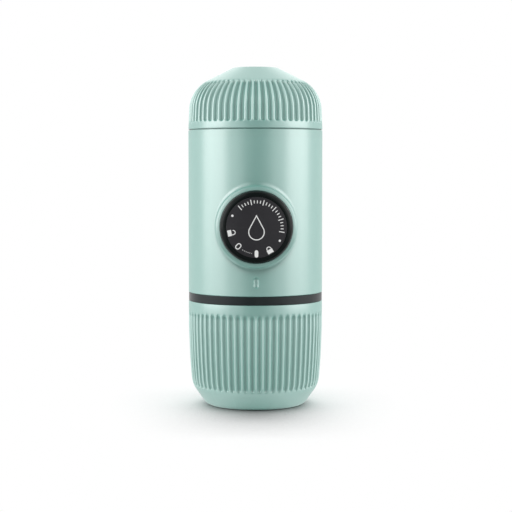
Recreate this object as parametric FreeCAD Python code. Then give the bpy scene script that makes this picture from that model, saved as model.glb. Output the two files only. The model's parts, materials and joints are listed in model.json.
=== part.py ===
# Handheld manual espresso maker, stored upright: water tank below, brew head and cup on top.
# Millimetres. The base stands on z = 0, the body axis is Z, and the piston cap faces -Y.

import math
import os

import FreeCAD
import Part

V = FreeCAD.Vector

# Body envelope
total_height = 155.2
body_radius = 30.9
wall = 2.2
tank_height = 48.2
band_height = 3.9
cup_height = 28.5
seam_bevel = 0.3
shell_bottom = tank_height + band_height
shell_top = total_height - cup_height

# General clearances: sliding pieces, pieces laid in a seat, and how far a cutter runs past a face
slide_gap = 0.1
seat_gap = 0.05
over = 1.0

# Cup dome, a cone that rounds into the side
cup_flat_radius = 10.3
cup_slope = math.radians(26.6)
cup_shoulder = 15.4
cup_draft = 0.8
cup_wall = 2.1
cup_rim = 2.0
cup_edge = 1.2
cup_side_r = body_radius - cup_draft
cup_mouth_r = body_radius - cup_rim
cup_arc_r = cup_side_r - cup_shoulder
cup_arc_drop = (cup_shoulder + (cup_arc_r - cup_flat_radius) * math.sin(cup_slope)) / math.cos(cup_slope)
cup_arc_z = total_height - cup_arc_drop

# Grip flutes
flute_count = 60
flute_depth = 0.9
flute_width = 2.05
flute_r = (flute_width ** 2 / 4 + flute_depth ** 2) / (2 * flute_depth)
flute_offset = flute_r - flute_depth
cup_flute_gap = 4.2
tank_flute_gap = 3.0
cup_flute_angle = math.radians(47.0)

# Tank: flat foot, sloped lower edge, tapered side
foot_inset = 8.3
foot_corner = 3.5
slope_inset = 1.45
slope_height = 9.45
slope_corner = 5.0
taper_inset = 0.55
taper_height = 22.0
taper_blend = 30.0
side_height = 36.0
side_blend = 60.0
tank_floor = 2.2
foot_radius = body_radius - foot_inset
slope_r = body_radius - slope_inset

# Deck that closes the body's lower end, and its spigot
deck_gap = 0.3
deck_thickness = 2.9
deck_r = body_radius - wall - deck_gap
neck_step = 0.5
neck_r = deck_r - neck_step
ledge_width = 1.9
ledge_height = 2.0
ledge_r = deck_r - ledge_width
spigot_step = 2.7
spigot_wall = 2.7
spigot_length = 9.7
spigot_r = neck_r - spigot_step
spigot_bore = spigot_r - spigot_wall
spigot_bottom = tank_height - spigot_length
deck_bottom = shell_bottom
deck_top = deck_bottom + deck_thickness
seal_height = 1.7

# Screw threads, two starts
thread_lead = 6.0
thread_height = 1.1
thread_gap = 0.3
thread_foot = 1.6
thread_tip = 0.8
thread_run = 5.0
inner_thread_run = 3.5
thread_root = 0.4
tank_thread_rise = 1.6
tank_mouth_r = spigot_r + thread_height + thread_gap
tank_thread_z = spigot_bottom + tank_thread_rise

# Brew chamber, basket and head
head_gap = 0.25
head_wall = 3.15
head_lift = 0.3
neck_rise = 9.3
neck_wall = 3.5
chamber_wall = 1.8
chamber_gap = 0.3
chamber_flange = 2.7
chamber_depth = 14.7
chamber_base = 2.4
plenum_height = 1.4
plenum_ledge = 1.4
shower_thickness = 1.1
basket_gap = 0.7
basket_lift = 0.3
basket_sheet = 0.5
basket_lip = 0.8
basket_corner = 1.2
lip_inset = 0.6
gasket_height = 2.4
gasket_gap = 0.2
head_thread_rise = 2.4
screen_overlap = 1.4
funnel_step = 0.5
funnel_rise = 2.2
crown_height = 5.2
crown_r = 9.0
crown_corner_in = 3.2
crown_corner_up = 2.0
hole_r = 0.5
hole_step = 3.1
hole_rings = 5
shower_step = 4.6
shower_rings = 3
head_r = cup_side_r - cup_wall - head_gap
head_bore_r = head_r - head_wall
chamber_neck_r = head_bore_r - thread_gap - thread_height
chamber_bore_r = chamber_neck_r - neck_wall
chamber_r = chamber_bore_r + chamber_wall
chamber_rim = shell_top + neck_rise
chamber_floor = shell_top - chamber_depth
plenum_floor = chamber_floor + chamber_base
shower_z = plenum_floor + plenum_height
basket_r = chamber_bore_r - basket_gap
basket_lip_r = chamber_neck_r - lip_inset
basket_bottom = shower_z + shower_thickness + basket_lift
basket_top = chamber_rim + basket_lip
gasket_top = basket_top + gasket_height
head_bottom = shell_top + head_lift
head_top = gasket_top + crown_height
head_thread_z = shell_top + head_thread_rise
screen_r = basket_r + screen_overlap
screen_top = gasket_top + basket_sheet
funnel_r = basket_r - basket_sheet
funnel_top = screen_top + funnel_step + funnel_rise

# Spout and its cover
nozzle_r = 4.0
nozzle_bore = 2.2
nozzle_flange_r = 5.8
nozzle_flange = 0.8
nozzle_tip_r = 3.6
nozzle_tip = 1.6
crema_lift = 0.6
crema_height = 1.2
crema_hole = 0.4
cover_r = 8.0
cover_height = 3.6
cover_wall = 1.0
cover_gap = 0.4

# Grip ring that holds the cup
grip_gap = 3.5
grip_height = 2.0
grip_depth = 0.8
grip_clearance = 0.08

# Piston unit, h is the distance in front of the body axis
dial_rise = 31.2
cap_reach = 9.2
cap_radius = 16.0
cap_edge = 2.4
cap_wall = 1.6
cap_front = 2.9
cap_proud = 4.6
cap_skirt = 30.1
disc_radius = 13.4
disc_thickness = 0.9
disc_gap = 0.03
collar_radius = 17.85
collar_fillet = 2.5
collar_edge = 0.8
collar_length = 13.5
guide_radius = 18.6
stroke = 15.0
lock_angle = 45.0
dial_height = shell_bottom + dial_rise
cap_face_h = body_radius + cap_reach
cap_skirt_h = cap_face_h - cap_skirt
collar_h = cap_face_h - cap_proud
collar_inner_h = collar_h - collar_length

# Mark on the body under the collar
mark_rise = 6.3
mark_width = 2.7
mark_length = 5.0
mark_depth = 0.75
mark_r = (mark_width ** 2 / 4 + mark_depth ** 2) / (2 * mark_depth)

# Cap hub, its screw and the key that limits its turn
hub_floor = 4.5
hub_length = 8.1
hub_r = 9.0
screw_web = 1.8
cap_screw_reach = 10.0
cap_screw_head_r = 3.0
cap_screw_head = 1.6
cap_screw_gap = 0.2
key_r = 7.6
key_width = 3.0
key_length = 3.0
key_setback = 3.1
key_gap = 0.2
turn_gap = 1.5
rod_front_h = cap_face_h - hub_floor

# Duct centre, core screws and vent
port_inset = 4.5
port_r = 1.7
duct_r = 6.2
screw_inset = 4.0
screw_angles = (7.0, 173.0, 45.0, 135.0)
screw_r = 1.5
screw_hole_gap = 0.1
screw_head_r = 2.75
screw_head_height = 2.2
socket_r = 1.3
socket_depth = 1.2
screw_end = 0.8
screw_blind = 0.6
post_r = 3.0
boss_r = 3.2
boss_height = 6.0
port_y = chamber_bore_r - port_inset
vent_y = -port_y
screw_circle = chamber_r - screw_inset
core_screws = [(screw_circle * math.cos(math.radians(a)), screw_circle * math.sin(math.radians(a)))
               for a in screw_angles]
boss_z = chamber_floor - boss_height

# Pump
bore_r = 7.0
barrel_wall = 2.2
barrel_front_gap = 14.1
barrel_end_wall = 2.5
rod_r = 5.5
rod_clearance = 0.06
head_clearance = 0.08
head_length = 4.8
head_land = 1.2
seal_length = 2.4
seal_root = 0.1
seal_clearance = 0.03
stroke_spare = 0.6
plate_thickness = 2.5
plate_gap = 0.2
web_thickness = 2.4
seat_gap_r = 0.5
seat_thickness = 2.5
skirt_gap = 1.5
spring_mean_r = 12.1
spring_wire = 1.3
spring_turns = 7
bush_flange = 1.5
wiper_recess = 0.4
wiper_length = 1.1
wiper_lip = 0.02
barrel_r = bore_r + barrel_wall
barrel_mouth_h = rod_front_h - barrel_front_gap
barrel_floor_h = -port_y - port_r - 0.1
barrel_end_h = barrel_floor_h - barrel_end_wall
rod_tip_h = -port_y + 2.0
head_front_h = rod_tip_h + head_length
bush_end_h = head_front_h + stroke + stroke_spare
spring_wall_h = cap_skirt_h - skirt_gap

# Valves and the intake filter
outlet_depth = 12.0
valve_bore_r = 4.2
poppet_r = 3.6
poppet_disc = 1.8
poppet_nose = 0.8
poppet_stem_r = 1.6
poppet_stem = 5.2
outlet_spring_r = 2.6
outlet_wire = 0.4
outlet_turns = 8
wire_flats = 16
valve_seat_z = chamber_floor - outlet_depth
inlet_pocket_r = 4.6
inlet_pocket = 3.0
umbrella_r = 3.9
umbrella_edge = 0.4
umbrella_rise = 1.1
umbrella_stem_r = 1.0
bulb_r = 1.4
bulb_length = 1.2
flow_hole_r = 0.8
flow_hole_ring = 2.4
filter_r = 5.6
filter_wall = 0.6
filter_height = 2.2
filter_step = 1.8
vent_r = 1.5
vent_flange_r = 2.6
vent_flange = 0.8
vent_pocket_r = 3.6
bill_length = 3.0
bill_slope = 1.8
bill_half = 0.5
vent_duct_r = 0.7


def rounded_wire(points):
    """Closed wire through (r, z, corner radius) points, in the XZ plane."""
    edges = []
    ends = []
    count = len(points)
    for i in range(count):
        r, z, radius = points[i]
        here = V(r, 0, z)
        before = V(points[i - 1][0], 0, points[i - 1][1])
        after = V(points[(i + 1) % count][0], 0, points[(i + 1) % count][1])
        if radius == 0:
            ends.append((here, here, None))
            continue
        back = (before - here).normalize()
        ahead = (after - here).normalize()
        half = back.getAngle(ahead) / 2
        reach = radius / math.tan(half)
        inward = (back + ahead).normalize()
        centre = here + inward * (radius / math.sin(half))
        middle = centre - inward * radius
        ends.append((here + back * reach, here + ahead * reach, middle))
    for i in range(count):
        start, stop, middle = ends[i]
        if middle is not None:
            edges.append(Part.Arc(start, middle, stop).toShape())
        following = ends[(i + 1) % count][0]
        if stop.distanceToPoint(following) > 1e-6:
            edges.append(Part.makeLine(stop, following))
    return Part.Wire(Part.__sortEdges__(edges))


def lathe(points):
    """Solid turned about Z from (r, z) or (r, z, corner radius) points."""
    full = [p if len(p) == 3 else (p[0], p[1], 0) for p in points]
    face = Part.Face(rounded_wire(full))
    return face.revolve(V(0, 0, 0), V(0, 0, 1), 360)


def rod(radius, low, high, x=0.0, y=0.0):
    """Upright cylinder between two heights."""
    return Part.makeCylinder(radius, high - low, V(x, y, low))


def ring(outer, inner, low, high):
    """Upright ring of rectangular section."""
    return rod(outer, low, high).cut(rod(inner, low - over, high + over))


def block(x0, x1, y0, y1, z0, z1):
    """Box between two corners."""
    return Part.makeBox(x1 - x0, y1 - y0, z1 - z0, V(x0, y0, z0))


def to_front(shape):
    """Lay a shape turned about Z along the piston axis, its +Z end facing -Y."""
    shape.rotate(V(0, 0, 0), V(1, 0, 0), 90)
    shape.translate(V(0, 0, dial_height))
    return shape


def around_z(shape, count):
    """Copies of a shape spaced evenly about Z."""
    copies = []
    for i in range(count):
        copy = shape.copy()
        copy.rotate(V(0, 0, 0), V(0, 0, 1), 360.0 * i / count)
        copies.append(copy)
    return copies


def thread(root, crest, start_z, run):
    """Two-start helical ridge from a root radius out or in to a crest radius."""
    side = 1 if crest > root else -1
    buried = root - side * thread_root
    path = Part.makeHelix(thread_lead, run, root)
    corners = [
        V(buried, 0, -thread_foot / 2),
        V(crest, 0, -thread_tip / 2),
        V(crest, 0, thread_tip / 2),
        V(buried, 0, thread_foot / 2),
    ]
    profile = Part.makePolygon(corners + corners[:1])
    ridge = Part.Wire(path.Edges).makePipeShell([profile], True, True)
    ridge.translate(V(0, 0, start_z))
    return around_z(ridge, 2)


def sieve_holes(rings, step, low, high):
    """Pattern of small round holes in rings about Z."""
    holes = [rod(hole_r, low, high)]
    for k in range(1, rings + 1):
        hole = rod(hole_r, low, high, step * k, 0)
        holes.extend(around_z(hole, 6 * k))
    return holes


def coil(mean, wire, length, turns):
    """Coil spring standing on z = 0; its round wire is drawn with flats."""
    corners = []
    for k in range(wire_flats + 1):
        angle = math.radians(360 * k / wire_flats)
        corners.append(V(mean + wire / 2 * math.cos(angle), 0, wire / 2 * (1 + math.sin(angle))))
    section = Part.makePolygon(corners)
    path = Part.makeHelix((length - wire) / turns, length - wire, mean)
    path.translate(V(0, 0, wire / 2))
    return Part.Wire(path.Edges).makePipeShell([section], True, True)


def seam_cutter(face_z, side):
    """Cutter that bevels the outer edge at a seam; side is +1 above the seam and -1 below it."""
    tip = body_radius + over
    return lathe([(body_radius - seam_bevel, face_z), (tip, face_z - side * over),
                  (tip, face_z + side * (over + seam_bevel))])


def dome_outline(inset, mouth_r, low):
    """Profile points of the cup dome, moved inwards by an inset."""
    arc_r = cup_shoulder - inset
    flat_r = cup_flat_radius - inset * (1 - math.cos(cup_slope)) / math.sin(cup_slope)
    top = total_height - inset
    side_r = cup_arc_r + arc_r
    # The corner point where the cone and the side would meet if the shoulder were sharp.
    corner_z = cup_arc_z + arc_r * math.tan((math.pi / 2 - cup_slope) / 2)
    return [(0, low), (mouth_r, low), (mouth_r, shell_top), (side_r, cup_arc_z),
            (side_r, corner_z, arc_r * 0.999), (flat_r, top, cup_edge), (0, top)]


def cup_flute():
    """Cutter for one flute of the cup: a straight run, then an arc that fades out."""
    path_r = cup_side_r + flute_offset
    low = shell_top + cup_flute_gap + flute_r
    lift = flute_depth / (1 - math.cos(cup_flute_angle))
    straight = rod(flute_r, low, cup_arc_z, path_r, 0)
    section = Part.Face(Part.Wire(Part.makeCircle(flute_r, V(path_r, 0, cup_arc_z), V(0, 0, 1))))
    centre = V(cup_arc_r - lift, 0, cup_arc_z)
    bend = section.revolve(centre, V(0, -1, 0), math.degrees(cup_flute_angle) + 11)
    end = Part.makeSphere(flute_r, V(path_r, 0, low))
    return straight.fuse([bend, end])


def make_cup():
    """Drinking cup that stands over the brew head, fluted outside."""
    shell = lathe(dome_outline(0, body_radius, shell_top - over))
    shell = shell.cut(lathe(dome_outline(cup_wall, cup_mouth_r, shell_top - 2 * over)))
    shell = shell.cut(rod(body_radius + over, shell_top - 3 * over, shell_top))
    shell = shell.cut(around_z(cup_flute(), flute_count))
    return shell.cut(seam_cutter(shell_top, 1))


def tank_flute():
    """Cutter for one flute of the tank, leaning in to follow its taper."""
    high = V(body_radius + flute_offset, 0, tank_height - tank_flute_gap - flute_r)
    low = V(slope_r + flute_depth / 2, 0, slope_height - 2 * flute_r)
    lean = low - high
    run = Part.makeCylinder(flute_r, lean.Length, high, lean)
    return run.fuse(Part.makeSphere(flute_r, high))


def make_water_tank():
    """Fluted tank with a threaded mouth and a flat foot."""
    outer = lathe([(0, 0), (foot_radius, 0, foot_corner), (slope_r, slope_height, slope_corner),
                   (body_radius - taper_inset, taper_height, taper_blend),
                   (body_radius, side_height, side_blend), (body_radius, tank_height - seam_bevel),
                   (body_radius - seam_bevel, tank_height), (0, tank_height)])
    step = spigot_bottom - chamber_gap
    inside_r = deck_r + slide_gap
    inner = lathe([(0, tank_floor), (foot_radius - wall / 2, tank_floor, foot_corner - 0.5),
                   (slope_r - wall, slope_height + wall / 4, slope_corner - 1.0),
                   (inside_r, taper_height), (inside_r, step - (inside_r - tank_mouth_r)),
                   (tank_mouth_r, step), (tank_mouth_r, tank_height + over), (0, tank_height + over)])
    shell = outer.cut(around_z(tank_flute(), flute_count))
    shell = shell.cut(inner)
    ridges = thread(tank_mouth_r, tank_mouth_r - thread_height, tank_thread_z + thread_lead / 4,
                    inner_thread_run)
    return shell.fuse(ridges)


def make_seal_band():
    """Dark ring between the tank and the body."""
    outer = body_radius - slide_gap
    inner = neck_r + slide_gap
    return lathe([(inner, tank_height), (outer, tank_height, seam_bevel),
                  (outer, shell_bottom, seam_bevel), (inner, shell_bottom)])


def make_tank_seal():
    """Seal around the top of the spigot, closing the tank's mouth."""
    outer = tank_mouth_r - seat_gap
    low = tank_height - seal_height
    return lathe([(spigot_r, low), (outer, low, 0.5), (outer, tank_height, 0.5), (spigot_r, tank_height)])


def make_tank_deck():
    """Deck that closes the body's lower end, with the spigot the tank screws on."""
    solid = lathe([(spigot_bore, spigot_bottom), (spigot_r, spigot_bottom), (spigot_r, tank_height),
                   (neck_r, tank_height), (neck_r, deck_bottom), (deck_r, deck_bottom),
                   (deck_r, deck_top), (0, deck_top), (0, deck_bottom), (spigot_bore, deck_bottom)])
    solid = solid.fuse(thread(spigot_r, spigot_r + thread_height, tank_thread_z, thread_run))
    low = deck_bottom - over
    high = deck_top + over
    holes = [rod(screw_r + screw_hole_gap, low, high, x, y) for x, y in core_screws]
    holes.append(rod(umbrella_stem_r, low, high, 0, port_y))
    for i in range(4):
        angle = math.radians(45 + 90 * i)
        x = flow_hole_ring * math.cos(angle)
        y = port_y + flow_hole_ring * math.sin(angle)
        holes.append(rod(flow_hole_r, low, high, x, y))
    holes.append(rod(vent_r, low, high, 0, vent_y))
    return solid.cut(holes)


def make_tie_screws():
    """Four long screws that hold deck, pump block and brew chamber together."""
    head_low = deck_bottom - screw_head_height
    screws = []
    for x, y in core_screws:
        head = rod(screw_head_r, head_low, deck_bottom, x, y)
        head = head.cut(rod(socket_r, head_low - over, head_low + socket_depth, x, y))
        screws.append(head.fuse(rod(screw_r, deck_bottom, chamber_floor + screw_end, x, y)))
    return Part.makeCompound(screws)


def make_inlet_valve():
    """Umbrella valve that lets water up into the pump."""
    disc = lathe([(0, deck_top), (umbrella_r, deck_top), (umbrella_r, deck_top + umbrella_edge),
                  (0, deck_top + umbrella_rise)])
    stem = rod(umbrella_stem_r, deck_bottom, deck_top)
    bulb = lathe([(0, deck_bottom), (bulb_r, deck_bottom), (umbrella_stem_r, deck_bottom - bulb_length),
                  (0, deck_bottom - bulb_length)])
    valve = disc.fuse([stem, bulb])
    valve.translate(V(0, port_y, 0))
    return valve


def make_intake_filter():
    """Small mesh cap under the pump's inlet."""
    low = deck_bottom - filter_height
    inside = rod(filter_r - filter_wall, low + filter_wall, deck_bottom + over)
    shell = rod(filter_r, low, deck_bottom).cut(inside)
    shell = shell.cut(sieve_holes(2, filter_step, low - over, low + over))
    shell.translate(V(0, port_y, 0))
    return shell


def make_air_vent_valve():
    """Duckbill that lets air into the tank as water leaves."""
    flange = rod(vent_flange_r, deck_top, deck_top + vent_flange)
    stem = rod(vent_r, deck_bottom, deck_top)
    tip = deck_bottom - bill_length
    bill = rod(vent_r, tip, deck_bottom)
    for side in (1, -1):
        near = side * bill_half
        far = side * (vent_r + over)
        bill = bill.cut(block(-vent_r - over, vent_r + over, min(near, far), max(near, far),
                              tip - over, tip + bill_slope))
    valve = flange.fuse([stem, bill])
    valve = valve.cut(rod(vent_duct_r, tip + bill_slope + bill_half, deck_top + vent_flange + over))
    valve.translate(V(0, vent_y, 0))
    return valve


def make_pump_block():
    """Moulded core with the pump barrel, its ducts and the posts for the screws."""
    plate = rod(ledge_r - plate_gap, deck_top, deck_top + plate_thickness)
    barrel = to_front(rod(barrel_r, barrel_end_h, barrel_mouth_h))
    seat = to_front(rod(cap_radius - seat_gap_r, spring_wall_h - seat_thickness, spring_wall_h))
    web_x, web_y = core_screws[0]
    web = block(-web_x, web_x, web_y - web_thickness / 2, web_y + web_thickness / 2, deck_top, boss_z)
    inlet = rod(duct_r, deck_top, dial_height, 0, port_y)
    outlet = rod(duct_r, dial_height, chamber_floor, 0, port_y)
    posts = [rod(post_r, deck_top, boss_z, x, y) for x, y in core_screws]
    core = plate.fuse([barrel, seat, web, inlet.fuse(outlet).removeSplitter()] + posts)
    low = deck_top - over
    cuts = [to_front(rod(bore_r, barrel_floor_h, barrel_mouth_h + over))]
    cuts.append(rod(port_r, low, valve_seat_z + over, 0, port_y))
    cuts.append(rod(inlet_pocket_r, low, deck_top + inlet_pocket, 0, port_y))
    cuts.append(rod(valve_bore_r, valve_seat_z, chamber_floor + over, 0, port_y))
    cuts.append(rod(vent_pocket_r, low, deck_top + plate_thickness + over, 0, vent_y))
    cuts.extend([rod(screw_r + screw_hole_gap, low, boss_z + over, x, y) for x, y in core_screws])
    return core.cut(cuts)


def make_outlet_poppet():
    """Poppet that opens once there is pressure under it."""
    low = valve_seat_z
    nose_r = port_r - slide_gap
    stem_top = low + poppet_disc + poppet_stem
    shape = lathe([(0, low - poppet_nose), (nose_r - slide_gap, low - poppet_nose), (nose_r, low),
                   (poppet_r, low), (poppet_r, low + poppet_disc), (poppet_stem_r, low + poppet_disc),
                   (poppet_stem_r, stem_top, 0.5), (0, stem_top)])
    shape.translate(V(0, port_y, 0))
    return shape


def make_outlet_spring():
    """Light spring over the poppet's stem."""
    low = valve_seat_z + poppet_disc
    spring = coil(outlet_spring_r, outlet_wire, chamber_floor - low, outlet_turns)
    spring.translate(V(0, port_y, low))
    return spring


def collar_blend_edges(outer):
    """Edges where the round collar meets the round body."""
    found = []
    for edge in outer.Edges:
        box = edge.BoundBox
        on_body = -body_radius - 0.01 < box.YMin and box.YMax < -body_radius / 2
        if on_body and box.XLength > collar_edge and box.ZLength > collar_edge:
            found.append(edge)
    return found


def collar_rim_edges(outer):
    """Edges of the collar's front face."""
    found = []
    for edge in outer.Edges:
        box = edge.BoundBox
        if abs(box.YMin + collar_h) < 0.01 and box.YLength < 0.01:
            found.append(edge)
    return found


def body_mark():
    """Cutter for the scooped mark under the collar, round at both ends."""
    y = mark_depth - body_radius - mark_r
    middle = shell_bottom + mark_rise
    low = middle - (mark_length - mark_width) / 2
    high = middle + (mark_length - mark_width) / 2
    ends = [Part.makeSphere(mark_r, V(0, y, z)) for z in (low, high)]
    return rod(mark_r, low, high, 0, y).fuse(ends)


def make_body_shell():
    """Outer body with the round collar that the piston cap works in."""
    outer = rod(body_radius, shell_bottom, shell_top).fuse(to_front(rod(collar_radius, 0, collar_h)))
    outer = outer.makeFillet(collar_fillet, collar_blend_edges(outer))
    outer = outer.makeFillet(collar_edge, collar_rim_edges(outer))
    inside = body_radius - wall
    mouth = deck_r + slide_gap
    ledge_top = deck_top + ledge_height
    flange_top = shell_top - chamber_flange
    flange_low = flange_top - plate_thickness
    neck = chamber_r + chamber_gap
    cavity = lathe([(0, shell_bottom - over), (mouth, shell_bottom - over), (mouth, deck_top),
                    (ledge_r, deck_top), (ledge_r, ledge_top), (inside, ledge_top + inside - ledge_r),
                    (inside, flange_low), (neck, flange_low), (neck, flange_top), (mouth, flange_top),
                    (mouth, shell_top + over), (0, shell_top + over)])
    shell = outer.cut([seam_cutter(shell_top, -1), seam_cutter(shell_bottom, 1), cavity])
    guide = to_front(rod(guide_radius, collar_inner_h, collar_h))
    guide = guide.common(rod(body_radius - wall / 2, shell_bottom, shell_top))
    bore = to_front(rod(cap_radius + slide_gap, 0, collar_h + over))
    return shell.fuse(guide).cut([bore, body_mark()])


def make_brew_chamber():
    """Chamber with a threaded neck that takes the filter basket."""
    flange_low = shell_top - chamber_flange
    plenum_r = chamber_bore_r - plenum_ledge
    shape = lathe([(0, chamber_floor), (chamber_r, chamber_floor), (chamber_r, flange_low),
                   (deck_r, flange_low), (deck_r, shell_top), (chamber_neck_r, shell_top),
                   (chamber_neck_r, chamber_rim, 0.4), (chamber_bore_r, chamber_rim),
                   (chamber_bore_r, shower_z), (plenum_r, shower_z), (plenum_r, plenum_floor),
                   (0, plenum_floor)])
    ridges = thread(chamber_neck_r, chamber_neck_r + thread_height, head_thread_z, thread_run)
    bosses = [rod(boss_r, boss_z, chamber_floor + chamber_base / 2, x, y) for x, y in core_screws]
    shape = shape.fuse(ridges + bosses)
    blind = chamber_floor + screw_end + screw_blind
    holes = [rod(screw_r, boss_z - over, blind, x, y) for x, y in core_screws]
    holes.append(rod(port_r - slide_gap, chamber_floor - over, plenum_floor + over, 0, port_y))
    return shape.cut(holes)


def make_shower_plate():
    """Perforated plate that spreads the water under the basket."""
    plate = rod(chamber_bore_r - seat_gap, shower_z, shower_z + shower_thickness)
    return plate.cut(sieve_holes(shower_rings, shower_step, shower_z - over, shower_z + 3 * over))


def make_filter_basket():
    """Pressed steel basket with a fine perforated bottom."""
    inner = basket_r - basket_sheet
    shape = lathe([(0, basket_bottom), (basket_r, basket_bottom, basket_corner), (basket_r, chamber_rim),
                   (basket_lip_r, chamber_rim), (basket_lip_r, basket_top), (inner, basket_top),
                   (inner, basket_bottom + basket_sheet, basket_corner - basket_sheet),
                   (0, basket_bottom + basket_sheet)])
    return shape.cut(sieve_holes(hole_rings, hole_step, basket_bottom - over, basket_bottom + over))


def make_outlet_head():
    """Screw-on head that presses on the basket and funnels the coffee out."""
    recess = screen_r + seat_gap
    shape = lathe([(head_bore_r, head_bottom), (head_r, head_bottom, 0.5),
                   (head_r, chamber_rim + over, 1.5),
                   (head_r - crown_corner_in, gasket_top + crown_corner_up, 2.0), (crown_r, head_top),
                   (nozzle_r, head_top), (nozzle_r, funnel_top), (funnel_r, screen_top + funnel_step),
                   (funnel_r, screen_top), (recess, screen_top), (recess, gasket_top),
                   (head_bore_r, gasket_top)])
    low = shell_top + grip_gap
    groove = ring(head_r + over, head_r - grip_depth, low, low + grip_height)
    ridges = thread(head_bore_r, head_bore_r - thread_height, head_thread_z + thread_lead / 4,
                    inner_thread_run)
    return shape.cut(groove).fuse(ridges)


def make_head_gasket():
    """Flat gasket between the head and the basket's lip."""
    return ring(head_bore_r - gasket_gap, basket_r + gasket_gap, basket_top, gasket_top)


def make_head_screen():
    """Fine screen under the funnel."""
    plate = rod(screen_r, gasket_top, screen_top)
    return plate.cut(sieve_holes(hole_rings, hole_step, gasket_top - over, gasket_top + over))


def make_spout_nozzle():
    """Nozzle the coffee leaves through."""
    flange_top = head_top + nozzle_flange
    tip = flange_top + nozzle_tip
    return lathe([(nozzle_bore, funnel_top), (nozzle_r, funnel_top), (nozzle_r, head_top),
                  (nozzle_flange_r, head_top), (nozzle_flange_r, flange_top),
                  (nozzle_tip_r, flange_top), (nozzle_tip_r, tip, 0.4), (nozzle_bore, tip)])


def make_crema_valve():
    """Small silicone disc with a pinhole inside the nozzle."""
    low = funnel_top + crema_lift
    return ring(nozzle_bore, crema_hole, low, low + crema_height)


def make_spout_cover():
    """Press-on cover over the nozzle."""
    high = head_top + cover_height
    inner = nozzle_flange_r + cover_gap
    return lathe([(inner, head_top), (cover_r, head_top), (cover_r, high, 1.2), (0, high),
                  (0, high - cover_wall), (inner, high - cover_wall)])


def make_cup_grip_ring():
    """Elastic ring on the head that holds the cup by friction."""
    low = shell_top + grip_gap
    high = low + grip_height
    share = (high - shell_top) / (cup_arc_z - shell_top)
    side = cup_side_r - cup_wall
    outer = cup_mouth_r + (side - cup_mouth_r) * share - grip_clearance
    inner = head_r - grip_depth
    return lathe([(inner, low), (outer, low, 0.5), (outer, high, 0.5), (inner, high)])


def make_rod_bush():
    """Guide bush screwed into the barrel's mouth."""
    inner = rod_r + rod_clearance
    front = barrel_mouth_h + bush_flange
    step = barrel_mouth_h + wiper_recess
    recess = bore_r + wiper_recess
    return to_front(lathe([(inner, bush_end_h), (bore_r, bush_end_h), (bore_r, barrel_mouth_h),
                           (barrel_r, barrel_mouth_h), (barrel_r, front), (recess, front),
                           (recess, step), (inner, step)]))


def make_rod_wiper():
    """Wiper ring at the front of the bush."""
    low = barrel_mouth_h + wiper_recess
    high = low + wiper_length
    inner = rod_r + wiper_lip
    outer = bore_r + wiper_recess
    return to_front(lathe([(inner, low + 0.3), (inner + 0.5, low), (outer, low), (outer, high),
                           (inner, high)]))


def make_plunger_rod():
    """Plunger rod with its piston head and the key that limits the cap's turn."""
    head = bore_r - head_clearance
    root = rod_r - seal_root
    groove_low = rod_tip_h + head_land
    groove_high = groove_low + seal_length
    shape = lathe([(0, rod_tip_h), (head, rod_tip_h), (head, groove_low), (root, groove_low),
                   (root, groove_high), (head, groove_high), (head, head_front_h),
                   (rod_r, head_front_h), (rod_r, rod_front_h), (0, rod_front_h)])
    key_high = rod_front_h - key_setback
    key = block(0, key_r, -key_width / 2, key_width / 2, key_high - key_length, key_high)
    shape = shape.fuse(key.common(rod(key_r, rod_tip_h, rod_front_h)))
    return to_front(shape.cut(rod(screw_r, rod_front_h - cap_screw_reach - screw_blind, rod_front_h + over)))


def make_plunger_seal():
    """Cup seal on the plunger's head."""
    low = rod_tip_h + head_land
    high = low + seal_length
    root = rod_r - seal_root
    outer = bore_r - seal_clearance
    return to_front(lathe([(root, low), (outer, low), (outer, high, 0.5), (root, high)]))


def make_cap_screw():
    """Screw that holds the cap to the rod, under the disc."""
    seat = rod_front_h + screw_web
    top = seat + cap_screw_head
    head = lathe([(0, seat), (cap_screw_head_r, seat), (cap_screw_head_r, seat + 1.0, 0.5), (0, top)])
    head = head.cut(rod(1.0, top - socket_depth + 0.2, top + over))
    return to_front(head.fuse(rod(screw_r, rod_front_h - cap_screw_reach, seat)))


def make_piston_cap():
    """Round black cap that is turned to unlock and pushed to pump."""
    recess = cap_face_h - disc_thickness
    inner = cap_radius - cap_wall
    under = cap_face_h - cap_front
    seat = rod_front_h + screw_web
    hub_low = rod_front_h - hub_length
    pocket = rod_r + rod_clearance
    well = cap_screw_head_r + cap_screw_gap
    hole = screw_r + cap_screw_gap
    shape = lathe([(cap_radius, cap_skirt_h), (cap_radius, cap_face_h, cap_edge),
                   (disc_radius, cap_face_h), (disc_radius, recess), (well, recess), (well, seat),
                   (hole, seat), (hole, rod_front_h), (pocket, rod_front_h), (pocket, hub_low),
                   (hub_r, hub_low), (hub_r, under), (inner, under, 1.0), (inner, cap_skirt_h)])
    room = math.degrees(math.asin(key_width / 2 / rod_r)) + turn_gap
    slot_r = key_r + key_gap
    low = hub_low - over
    high = rod_front_h - key_setback + key_gap
    face = Part.Face(Part.makePolygon([V(0, 0, low), V(slot_r, 0, low), V(slot_r, 0, high),
                                       V(0, 0, high), V(0, 0, low)]))
    slot = face.revolve(V(0, 0, 0), V(0, 0, 1), lock_angle + 2 * room)
    slot.rotate(V(0, 0, 0), V(0, 0, 1), -lock_angle - room)
    return to_front(shape.cut(slot))


def make_cap_disc():
    """Printed disc set flush in the cap's face."""
    return to_front(rod(disc_radius - disc_gap, cap_face_h - disc_thickness, cap_face_h))


def make_return_spring():
    """Coil spring that pushes the cap out when it is unlocked."""
    length = cap_face_h - cap_front - spring_wall_h
    spring = coil(spring_mean_r, spring_wire, length, spring_turns)
    spring.translate(V(0, 0, spring_wall_h))
    return to_front(spring)


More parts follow.
